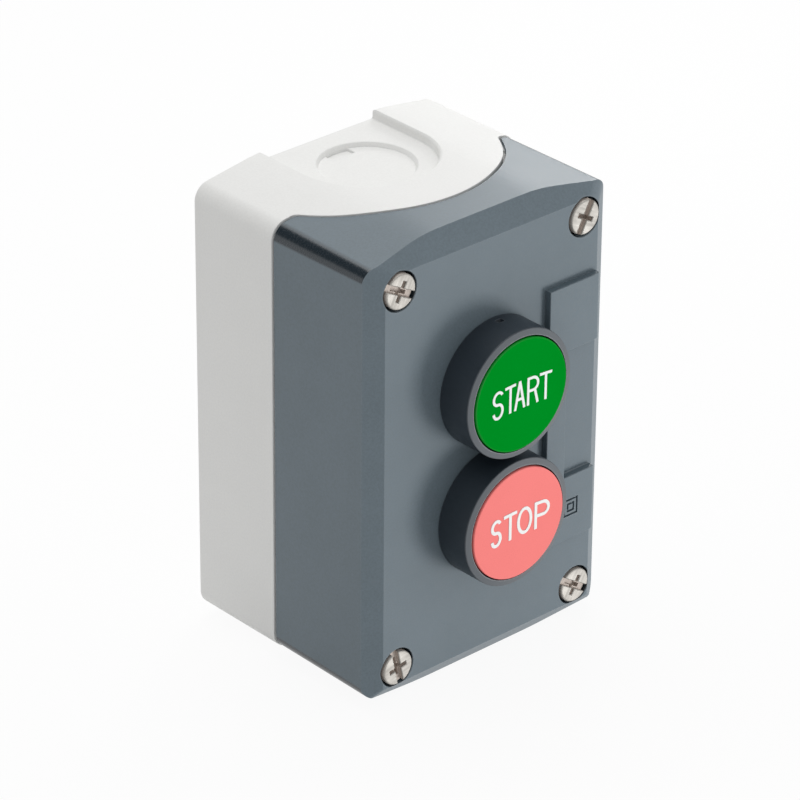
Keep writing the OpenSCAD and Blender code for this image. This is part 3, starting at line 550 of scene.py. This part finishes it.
def coil(name, z, mean, wire, f0, f1, turns):
    """A compression spring along the depth, its end turns closed and ground flat.
    mean is the coil's radius and wire the wire's, and it stands from f0 to f1."""
    per_turn, sides = 28, 12
    dead = 0.8
    steps = round(turns * per_turn)
    closed_rise = 2 * wire * dead
    free = f1 - f0 - 2 * wire - 2 * closed_rise
    rings = []
    for k in range(steps + 1):
        t = k / per_turn
        rest = turns - t
        if t < dead:
            centre = f0 + wire + 2 * wire * t
        elif rest < dead:
            centre = f1 - wire - 2 * wire * rest
        else:
            centre = f0 + wire + closed_rise + free * (t - dead) / (turns - 2 * dead)
        a = 2 * pi * t
        ring = []
        for s in range(sides):
            b = 2 * pi * s / sides
            out = mean + wire * cos(b)
            ring.append((out * cos(a), min(max(centre + wire * sin(b), f0), f1), z + out * sin(a)))
        rings.append(ring)
    return lofted(name, rings)


buttons = (("start", button_z), ("stop", -button_z))
for (side, z), plunger_nylon in zip(buttons, (green_nylon, red_nylon)):
    kept(side + "_block_base", block_nylon, edge=0.2)
    kept(side + "_block_housing", block_nylon, edge=0.25)
    kept(side + "_plunger", plunger_nylon, edge=0.15)
    kept(side + "_bridge", brass, edge=0.08)
    kept(side + "_fixed_contacts", brass, edge=0.08)
    push = coil(side + "_plunger_coil", z, mean=2.2, wire=0.25, f0=4.6, f1=12.0, turns=6)
    fitted(push, "casing", "spring_steel", spring_steel, side + "_plunger_spring")
    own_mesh(push)
kept("terminal_screws", nickel, edge=0.12)
kept("terminal_clamps", nickel, edge=0.1)

# The closing contact's spring shortens with its slide; the opening one's runs between plunger and bridge.
close_spring = coil("start_contact_coil", button_z, mean=1.4, wire=0.2, f0=17.6, f1=22.6, turns=6)
fitted(close_spring, "start_actuator", "spring_steel", spring_steel, "start_contact_spring")
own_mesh(close_spring)
open_spring = coil("stop_contact_coil", -button_z, mean=1.4, wire=0.2, f0=14.5, f1=19.15, turns=6)
fitted(open_spring, None, "spring_steel", spring_steel, "stop_contact_spring")
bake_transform(open_spring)

# Button bodies. A satin dark grey polyamide bezel and barrel in one piece, clamped by a round nut behind the
# panel. A rubber disc seals it to the panel, and a ring in its bore seals the stem.

# The bezels' grade is satin and nearly black, with a painted highlight that pales the front; the rest is
# black.
bezel_nylon = eroded_plastic("dark_grey_polyamide", "#222B33", "#29323B", roughness=0.42, grain=0.3,
                             relief=0.004, ior=1.53, painted_front_light=0.16)
black_nylon = eroded_plastic("black_polyamide", "#1D1E20", "#26272A", roughness=0.45, grain=0.5, relief=0.01,
                             ior=1.53)


def moulded_rubber(name, dark, light):
    """Nitrile rubber: matt, with a powdery bloom in soft patches and fine pores, sizes in millimetres."""
    made = blank(name)
    bloom_size, pore_size = 3.0, 0.25
    place = add(made, "ShaderNodeTexCoord")
    bloom = add(made, "ShaderNodeTexNoise", {"Scale": 1000 / bloom_size, "Detail": 4.0},
                {"Vector": (place, "Object")})
    pores = add(made, "ShaderNodeTexNoise", {"Scale": 1000 / pore_size, "Detail": 2.0},
                {"Vector": (place, "Object")})
    colour = add(made, "ShaderNodeMix", {"data_type": "RGBA", 6: linear(dark), 7: linear(light)},
                 {0: (bloom, "Fac")})
    gloss = add(made, "ShaderNodeMapRange", {"To Min": 0.62, "To Max": 0.85}, {"Value": (pores, "Fac")})
    dents = add(made, "ShaderNodeBump", {"Strength": 0.5, "Distance": 0.00001}, {"Height": (pores, "Fac")})
    skin = add(made, "ShaderNodeBsdfPrincipled", {"IOR": 1.52},
               {"Base Color": (colour, 2), "Roughness": (gloss, "Result"), "Normal": (dents, "Normal")})
    add(made, "ShaderNodeOutputMaterial", {}, {"Surface": (skin, "BSDF")})
    return made


rubber = moulded_rubber("nitrile_rubber", "#1A1A1B", "#2A2A2B")
panel_f, front_f = 55.1, 64.2
bezel_radius, ring_low, ring_high = 14.6, 63.45, 63.9

# Round the section: the barrel, the groove for the panel seal, the sloping front ring, the cap's well, the
# groove for the stem ring and the stem's bore. A notch in the flank's top shows which way up the bezel goes.
mark_half, mark_low, mark_top, mark_in, mark_out = 0.8, 56.6, 57.9, 13.8, 16
bezel_section = [
    (4.05, 44.0, 0.2), (11.0, 44.0, 0.4), (11.0, 55.7, 0), (12.7, 55.7, 0), (12.7, 55.15, 0),
    (bezel_radius, 55.15, 0.15), (bezel_radius, ring_low, 0.25), (13.05, ring_high, 0.2), (13.05, 57.55, 0.2),
    (9.6, 57.55, 0.3), (9.6, 53.6, 0), (10.0, 53.6, 0), (10.0, 52.4, 0), (9.6, 52.4, 0), (9.6, 45.5, 0.3),
    (4.05, 45.5, 0.2)]
for side, z in buttons:
    bezel = turned(side + "_bezel_ring", 0, z, softened(bezel_section, steps=5), steps=160)
    mark = eased(brick("mark", -mark_half, mark_half, mark_low, mark_top, z + mark_in, z + mark_out), 0.12,
                 sharp(60))
    worked(bezel, mark, "DIFFERENCE")
    fitted(bezel, "cover", "bezel_plastic", bezel_nylon, side + "_bezel")
    kept(side + "_panel_seal", rubber, edge=0.1)
    kept(side + "_stem_seal", rubber, edge=0.01)
    kept(side + "_nut", black_nylon, edge=0.25)

# Push stems. Black polyamide, each held in its barrel by a steel ring and pushed out by a coil spring.
# The flange under the cap stops on the ring; the rod's end meets the contact block's plunger.
for side, z in buttons:
    kept(side + "_stem", black_nylon, edge=0.15)
    kept(side + "_stem_ring", spring_steel, edge=0.08)
    back = coil(side + "_return_coil", z, mean=6.0, wire=0.4, f0=45.5, f1=60.85, turns=6.5)
    fitted(back, "cover", "spring_steel", spring_steel, side + "_return_spring")
    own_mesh(back)

# Push caps. Coloured ABS discs pressed onto the stems, flush with the bezels, with a satin face.
# The word is pad-printed in white ink: a thin film with square stroke ends.

# The caps are evenly coloured, with a satin face that shows no sharp lights. The ink is dull and slightly
# cool.
green_abs = eroded_plastic("green_abs", "#008E22", "#009428", roughness=0.5, grain=0.3, relief=0.003,
                           shine=0.0)
red_abs = eroded_plastic("red_abs", "#F97E7A", "#FF8480", roughness=0.5, grain=0.3, relief=0.003, shine=0.1)
white_ink = eroded_plastic("white_pad_ink", "#E6EAE8", "#EEF1EF", roughness=0.5, grain=0.4, relief=0.004,
                           ior=1.5)
letter_height = 6.5
ink_low, ink_top = front_f - 0.02, front_f + 0.1
arch_rise, arch_fall, arch_x = 0.18, 0.0065, 0.3


def stroke(points, width):
    """One pen stroke with square ends, as a thin solid."""
    path = [Vector(p) for p in points]
    sides = []
    for k in range(len(path)):
        way = (path[min(k + 1, len(path) - 1)] - path[max(k - 1, 0)]).normalized()
        sides.append(Vector((-way.y, way.x)) * width / 2)
    ring = [p + o for p, o in zip(path, sides)] + [p - o for p, o in zip(path, sides)][::-1]
    return forward("stroke", [([(p.x, p.y) for p in ring], f) for f in (ink_low, ink_top)])


def letter(sign, width, pen):
    """Pen paths of a letter, in its own box; width is over the strokes. Fractions are parts of its height h
    or width w between the strokes' middles."""
    h, w = letter_height - pen, width - pen
    if sign == "S":
        low, over = h * 0.27, 0.06
        high = h / 2 - low
        return [oval(w / 2, h + over - high - over, w / 2, high + over, 26, 244)[:-1]
                + oval(w / 2, low - over, w / 2, low, 90, -262)]
    if sign == "T":
        return [[(-pen / 2, h), (w + pen / 2, h)], [(w / 2, h), (w / 2, -pen / 2)]]
    if sign == "A":
        return [[(-0.04, -pen / 2), (w * 0.48, h + pen / 2)], [(w * 0.48, h + pen / 2), (w, -pen / 2)],
                [(w * 0.17, h * 0.34), (w * 0.83, h * 0.34)]]
    if sign == "O":
        return [oval(w / 2, h / 2, w / 2, h / 2, 90, turn, 28) for turn in (180, -180)]
    bowl = h * (0.25 if sign == "R" else 0.265)
    arch = [(0, h), (w - bowl, h)] + arc(w - bowl, h - bowl, bowl, 90, -180, 16)[1:] + [(0, h - 2 * bowl)]
    stem = [(0, -pen / 2), (0, h + pen / 2)]
    leg = [(w * 0.68, h - 2 * bowl), (w * 0.98, -pen / 2)]
    return [stem, arch, leg] if sign == "R" else [stem, arch]


def printed(name, word, pen, z):
    """A printed word of (letter, left edge, width), set on a slight arch as the soft pad lays it down."""
    parts = 4
    signs = []
    for sign, left, width in word:
        strokes = []
        for path in letter(sign, width, pen):
            fine = [tuple(Vector(a).lerp(Vector(b), k / parts)) for a, b in zip(path, path[1:])
                    for k in range(parts)] + [path[-1]]
            spots = [(px + left + pen / 2, pz - letter_height / 2 + pen / 2) for px, pz in fine]
            spots = [(px, pz + z + arch_rise - arch_fall * (px - arch_x) ** 2) for px, pz in spots]
            strokes.append(stroke(spots, pen))
        whole = strokes[0]
        for other in strokes[1:]:
            worked(whole, other, "UNION")
        signs.append(whole)
    return gathered(name, signs)


start_word = [("S", -8.25, 3.12), ("T", -4.75, 3.0), ("A", -2.12, 3.17), ("R", 1.5, 3.4), ("T", 5.05, 3.5)]
stop_word = [("S", -8.05, 3.1), ("T", -4.4, 3.78), ("O", -0.55, 4.35), ("P", 4.45, 4.43)]
cap_section = [(0, 60.5, 0), (3.0, 60.5, 0.2), (3.0, 62.0, 0), (12.8, 62.0, 0.2), (12.8, front_f, 0.25),
               (0, front_f, 0)]
for (side, z), (abs_plastic, word, pen, slot) in zip(buttons, (
        (green_abs, start_word, 0.62, "green_cap"), (red_abs, stop_word, 0.76, "red_cap"))):
    cap_disc = turned(side + "_cap_disc", 0, z, softened(cap_section, steps=5, closed=False), steps=160)
    fitted(cap_disc, side + "_button", slot, abs_plastic, side + "_cap")
    print_film = printed(side + "_print", word, pen, z)
    fitted(print_film, side + "_button", "white_print", white_ink, side + "_legend")

# Front cover. A deep tub of slate grey ABS with chamfered front edges, drawn onto the casing by four screws.
# A raised strip beside the buttons carries the insulation-class sign, a square in a square, cut into it.

# Slate grey ABS: a matt front, chamfers that sparkle a little, and smooth rounds along the long edges,
# darkened by a painted dark reflection.
cover_abs = eroded_plastic("slate_grey_abs", "#5A6870", "#64727B", roughness=0.4, grain=0.5, relief=0.012,
                           sparkle=0.9, polish_and_shade=0.95, matt_front=0.24)
cover_step, front_corner = 0.25, 3.4
cover_shift = tongue_shift + 0.3
seam_gap = 0.42
cover = forward("front_cover_shell", [
    (outline(cover_step), 15), (outline(cover_step), 25.5), (outline(cover_step, front_corner), 52),
    (outline(cover_step, front_corner), panel_f)])

# The front is cut by planes, each a normal in x, f and z with its distance from the origin: two side
# chamfers, two end chamfers, and a fan of planes that rounds the mitre between each side and end.
side_wide, side_deep = 4.2, 2.9
end_wide, top_deep, bottom_deep = 4.5, 4.3, 3.5
top_mitre, bottom_mitre = 5.0, 1.2
fan = 9
side_chamfers = [((s * half_width, panel_f - side_deep, 0), (s * side_deep, side_wide, 0)) for s in ends]
end_chamfers = [((0, panel_f - deep, s * half_height), (0, end_wide, s * deep))
                for s, deep in zip(ends, (top_deep, bottom_deep))]
cuts = [(Vector(normal).normalized(), Vector(spot).dot(Vector(normal).normalized()))
        for spot, normal in side_chamfers + end_chamfers]
for side_normal, side_reach in cuts[:2]:
    for (end_normal, end_reach), mitre_radius in zip(cuts[2:4], (top_mitre, bottom_mitre)):
        lap = side_normal.dot(end_normal)
        near, far = side_reach - mitre_radius, end_reach - mitre_radius
        axis = (side_normal * (near - lap * far) + end_normal * (far - lap * near)) / (1 - lap * lap)
        for k in range(1, fan):
            normal = side_normal.slerp(end_normal, k / fan)
            cuts.append((normal, normal.dot(axis) + mitre_radius))
shape = bmesh.new()
shape.from_mesh(cover.data)
for normal, reach in cuts:
    spot, way = normal * reach, Vector((normal.x, -normal.y, normal.z))
    bmesh.ops.bisect_plane(shape, geom=shape.verts[:] + shape.edges[:] + shape.faces[:], clear_outer=True,
                           dist=1e-7, plane_co=Vector((spot.x, -spot.y, spot.z)) / 1000, plane_no=way)
    bmesh.ops.holes_fill(shape, edges=[e for e in shape.edges if e.is_boundary], sides=0)
bmesh.ops.recalc_face_normals(shape, faces=shape.faces)
shape.to_mesh(cover.data)
shape.free()
eased(cover, 0.4, sharp(18, ahead=30))
worked(cover, behind(seam_gap, cover_shift), "DIFFERENCE")
eased(cover, seam_edge, on_rim(seam_gap, cover_shift))

# Inside: the hollow with a thicker panel edge, a ledge that clears the casing's lip, and a boss for each
# screw, slim beside the casing's tongue and wide in front of it.
ledge_inset, ledge_rise = 1.3, 2.7
hollow_edge, hollow_step_f, hollow_f = wall + 3, 47.5, 52.5
inner = [(wall, 10), (wall, hollow_step_f), (hollow_edge, hollow_step_f), (hollow_edge, hollow_f)]
worked(cover, forward("cover_hollow", [(outline(t), f) for t, f in inner]), "DIFFERENCE")
ledge = worked(forward("cover_ledge", [(outline(ledge_inset), 10), (outline(ledge_inset), 60)]),
               behind(ledge_rise, 0), "INTERSECT")
worked(cover, ledge, "DIFFERENCE")
boss_slim, boss_wide, boss_foot, boss_top = 4.1, 6, 26, 52.6
boss_f = tongue_centre + sqrt((tongue_radius + ledge_rise) ** 2 - (screw_x - boss_wide) ** 2) + 0.4
boss_profile = [(0, boss_foot, 0), (boss_slim, boss_foot, 0.3), (boss_slim, boss_f, 0),
                (boss_wide, boss_f, 0.4), (boss_wide, boss_top, 0), (0, boss_top, 0)]
bosses = [turned("boss", sx * screw_x, sz * screw_z, softened(boss_profile, closed=False), steps=64)
          for sx, sz in corners]
worked(cover, gathered("cover_bosses", bosses), "UNION")

# The raised strip slopes a little along its right border, and a wide notch is cut into it beside the buttons.
strip_x, strip_right, strip_reach, strip_height = 15.0, half_width - 4.7, 31.0, 1.6
strip_top = panel_f + strip_height
border, border_drop = 1.7, 0.25
notch_wide, notch_reach = 8.9, 15.3
strip_section = [(strip_x, 54), (strip_x, strip_top), (strip_right - border, strip_top),
                 (strip_right, strip_top - border_drop), (strip_right, 54)]
strip = upward("raised_strip", [(strip_section, -strip_reach), (strip_section, strip_reach)])
worked(strip, brick("notch", strip_right - notch_wide, 40, panel_f, 60, -notch_reach, notch_reach),
       "DIFFERENCE")
eased(strip, 0.25, sharp(30, ahead=panel_f))
worked(cover, strip, "UNION")


def square_ring(x, z, side, line, f0, f1):
    """A thin square frame as a cutter."""
    near, far = side / 2 * sqrt(2), (side / 2 - line) * sqrt(2)
    return turned("square", x, z, [(near, f0), (near, f1), (far, f1), (far, f0)], steps=4, start=45)


# Holes: a stepped one with a counterbore for each screw, one for each barrel, and the sign's two squares.
screw_hole = [(0, 25), (3.2, 25), (3.2, 27.4), (2.3, 27.4), (2.3, 51.75), (4.47, 51.75), (4.47, 54.85),
              (4.53, 55.02), (4.66, 55.12), (4.66, 58), (0, 58)]
barrel_hole = [(0, 50), (11.25, 50), (11.25, 57), (0, 57)]
sign_x, sign_z, sign_line, sign_depth = 22.5, -23.05, 0.5, 0.45
sign_sides = (4.2, 2.2)
holes = [turned("screw_hole", sx * screw_x, sz * screw_z, screw_hole, steps=80) for sx, sz in corners]
holes += [turned("head_hole", 0, s * button_z, barrel_hole) for s in ends]
holes += [square_ring(sign_x, sign_z, side, sign_line, strip_top - sign_depth, strip_top + 1)
          for side in sign_sides]
worked(cover, gathered("cover_holes", holes), "DIFFERENCE")
fitted(cover, "cover", "dark_cover", cover_abs, "front_cover")
kept("cover_seal", rubber, edge=0.1)

# Cover screws. Steel, nickel plated, with a flat head that takes a blade or a cross; a ring keeps each in the
# cover. The heads stand a little above the panel, each turned its own way as the driver left it.
head_top = panel_f + 0.3
crest, root, pitch_half, thread_f = 1.99, 1.62, 0.35, 14.9
threads = [(crest if k % 2 else root, thread_f + pitch_half * k) for k in range(41)]
shank_and_head = [(crest, 29.3, 0), (crest, 51.75, 0), (3.95, 51.75, 0.15), (3.95, head_top, 0.4),
                  (0, head_top, 0)]
screw = turned("cover_screw_1", 0, 0,
               [(0, 14.5), (1.5, 14.5)] + threads + softened(shank_and_head, closed=False), 64)

# The blade's slot runs right across the head, the cross in the middle is cut deeper, and both flare out.
flare_out = 0.18
for wide, long, deep in ((0.8, 6.0, 1.1), (0.45, 2.3, 2.2), (2.3, 0.45, 2.2)):
    flare = [(0, head_top - deep), (0, head_top - 0.15), (flare_out, head_top + 0.02),
             (flare_out, head_top + 1)]
    layers = [([(long + t, wide + t), (-long - t, wide + t), (-long - t, -wide - t),
                (long + t, -wide - t)], f) for t, f in flare]
    worked(screw, forward("slot", layers), "DIFFERENCE")
screws = [screw] + [standing(f"cover_screw_{k}", screw.data.copy()) for k in (2, 3, 4)]
for piece, (sx, sz, angle) in zip(screws, ((-1, 1, -28), (1, 1, 62), (-1, -1, -78), (1, -1, -32))):
    piece.rotation_euler = (0, radians(-angle), 0)
    piece.location = (sx * screw_x / 1000, 0, sz * screw_z / 1000)
    fitted(piece, "cover", "plated_steel", nickel)
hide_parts("cover_screws")
kept("screw_retainers", black_nylon, edge=0.05)

# Studio. The box stands on its lower end on a white light table, as small parts are photographed for a
# catalogue. One panel hangs overhead, and one low on the right shines up through the opal top.


def background_rays(made):
    """1 for the rays that show the background: seen straight, in a gloss or through something clear."""
    ray = add(made, "ShaderNodeLightPath")
    seen = add(made, "ShaderNodeMath", {"operation": "MAXIMUM"},
               {0: (ray, "Is Camera Ray"), 1: (ray, "Is Glossy Ray")})
    return add(made, "ShaderNodeMath", {"operation": "MAXIMUM"},
               {0: (seen, 0), 1: (ray, "Is Transmission Ray")})


# Opal acrylic: a matt white that catches the shadow, under a nearly white glow of its own. It throws no
# shadow itself, so that the low panel shines through.
own_glow = 0.93
opal_acrylic = blank("white_table")
seen = background_rays(opal_acrylic)
share = add(opal_acrylic, "ShaderNodeMath", {"operation": "MULTIPLY", 1: own_glow}, {0: (seen, 0)})
matt = add(opal_acrylic, "ShaderNodeBsdfDiffuse", {"Color": linear("#F2F2F2")})
glow = add(opal_acrylic, "ShaderNodeEmission", {"Color": (1, 1, 1, 1), "Strength": 1.0})
both = add(opal_acrylic, "ShaderNodeMixShader", {}, {0: (share, 0), 1: (matt, 0), 2: (glow, 0)})
add(opal_acrylic, "ShaderNodeOutputMaterial", {}, {"Surface": (both, 0)})
table_half, table_z = 4, -0.0531
table = bpy.data.meshes.new("table")
table.from_pydata([(sx * table_half, sy * table_half, table_z)
                   for sx, sy in ((1, 1), (-1, 1), (-1, -1), (1, -1))], [], [(0, 1, 2, 3)])
table.materials.append(opal_acrylic)
table_top = standing("table_top", table)
table_top.visible_shadow = False

# The room is white where it is seen or mirrored, and gives a little more than half of that as light.
room_light = 0.56
world = bpy.data.worlds.new("studio")
bpy.context.scene.world = world
world.use_nodes = True
world.node_tree.nodes.clear()
seen = background_rays(world)
level = add(world, "ShaderNodeMapRange", {"To Min": room_light, "To Max": 1.0}, {"Value": (seen, 0)})
sky = add(world, "ShaderNodeBackground", {"Color": (1, 1, 1, 1)}, {"Strength": (level, "Result")})
add(world, "ShaderNodeOutputWorld", {}, {"Surface": (sky, 0)})


def softbox(name, place, aim, size, watts):
    """A square light panel turned to the box."""
    lamp = bpy.data.lights.new(name, "AREA")
    lamp.size = size
    lamp.energy = watts
    made = standing(name, lamp)
    made.location = place
    made.rotation_euler = (Vector(aim) - Vector(place)).to_track_quat("-Z", "Y").to_euler()


softbox("overhead_panel", (0.1, 0.3, 0.95), aim=(0, -0.03, 0), size=0.7, watts=3.4)
softbox("low_front_panel", (0.51, -0.685, -0.37), aim=(0, -0.05, 0), size=0.3, watts=3.3)
softbox("side_panel", (0.75, -0.6, 0.25), aim=(0, -0.05, 0), size=0.3, watts=0.35)
softbox("back_panel", (0.3, 0.17, 0.2), aim=(0.03, -0.03, 0.053), size=0.12, watts=0.26)

# A sheet of matt black card stands behind the left, high up, and is seen only in gloss. It puts a dark
# reflection into the long rounded edge between the box's left side and its upper end.
matt_black_card = blank("black_card")
matt_black = add(matt_black_card, "ShaderNodeBsdfDiffuse", {"Color": linear("#0A0A0A")})
add(matt_black_card, "ShaderNodeOutputMaterial", {}, {"Surface": (matt_black, 0)})
flag = bpy.data.meshes.new("flag")
flag.from_pydata([(-0.34, 0.1, 0.12), (0.02, 0.36, 0.12), (-0.1, 0.3, 0.5), (-0.46, 0.04, 0.5)],
                 [], [(0, 1, 2, 3)])
flag.materials.append(matt_black_card)
black_card = standing("black_card", flag)
black_card.visible_camera = False
black_card.visible_diffuse = False
black_card.visible_shadow = False

# Camera. A long lens looks at the left front corner from above, with the place, the angles in degrees and the
# focal length in pixels that were fitted to the photograph.
focal_pixels, frame_pixels, sensor = 4617.202, 800, 36
place = (-0.581765, -0.667625, 0.469483)
azimuth, elevation, roll = radians(-42.237), radians(28.537), radians(0.473)
camera_data = bpy.data.cameras.new("camera")
camera_data.lens = focal_pixels / frame_pixels * sensor
camera_data.sensor_width = sensor
camera_data.clip_start, camera_data.clip_end = 0.01, 20
back_way = Vector((sin(azimuth) * cos(elevation), -cos(azimuth) * cos(elevation), sin(elevation)))
right_way = (-back_way).cross(Vector((0, 0, 1))).normalized()
up_way = right_way.cross(-back_way)
across = right_way * cos(roll) + up_way * sin(roll)
upright = up_way * cos(roll) - right_way * sin(roll)
camera = standing("camera", camera_data)
camera.matrix_world = Matrix(list(zip(across, upright, back_way, place)) + [(0, 0, 0, 1)])
bpy.context.scene.camera = camera
bpy.context.scene.view_settings.view_transform = "Standard"
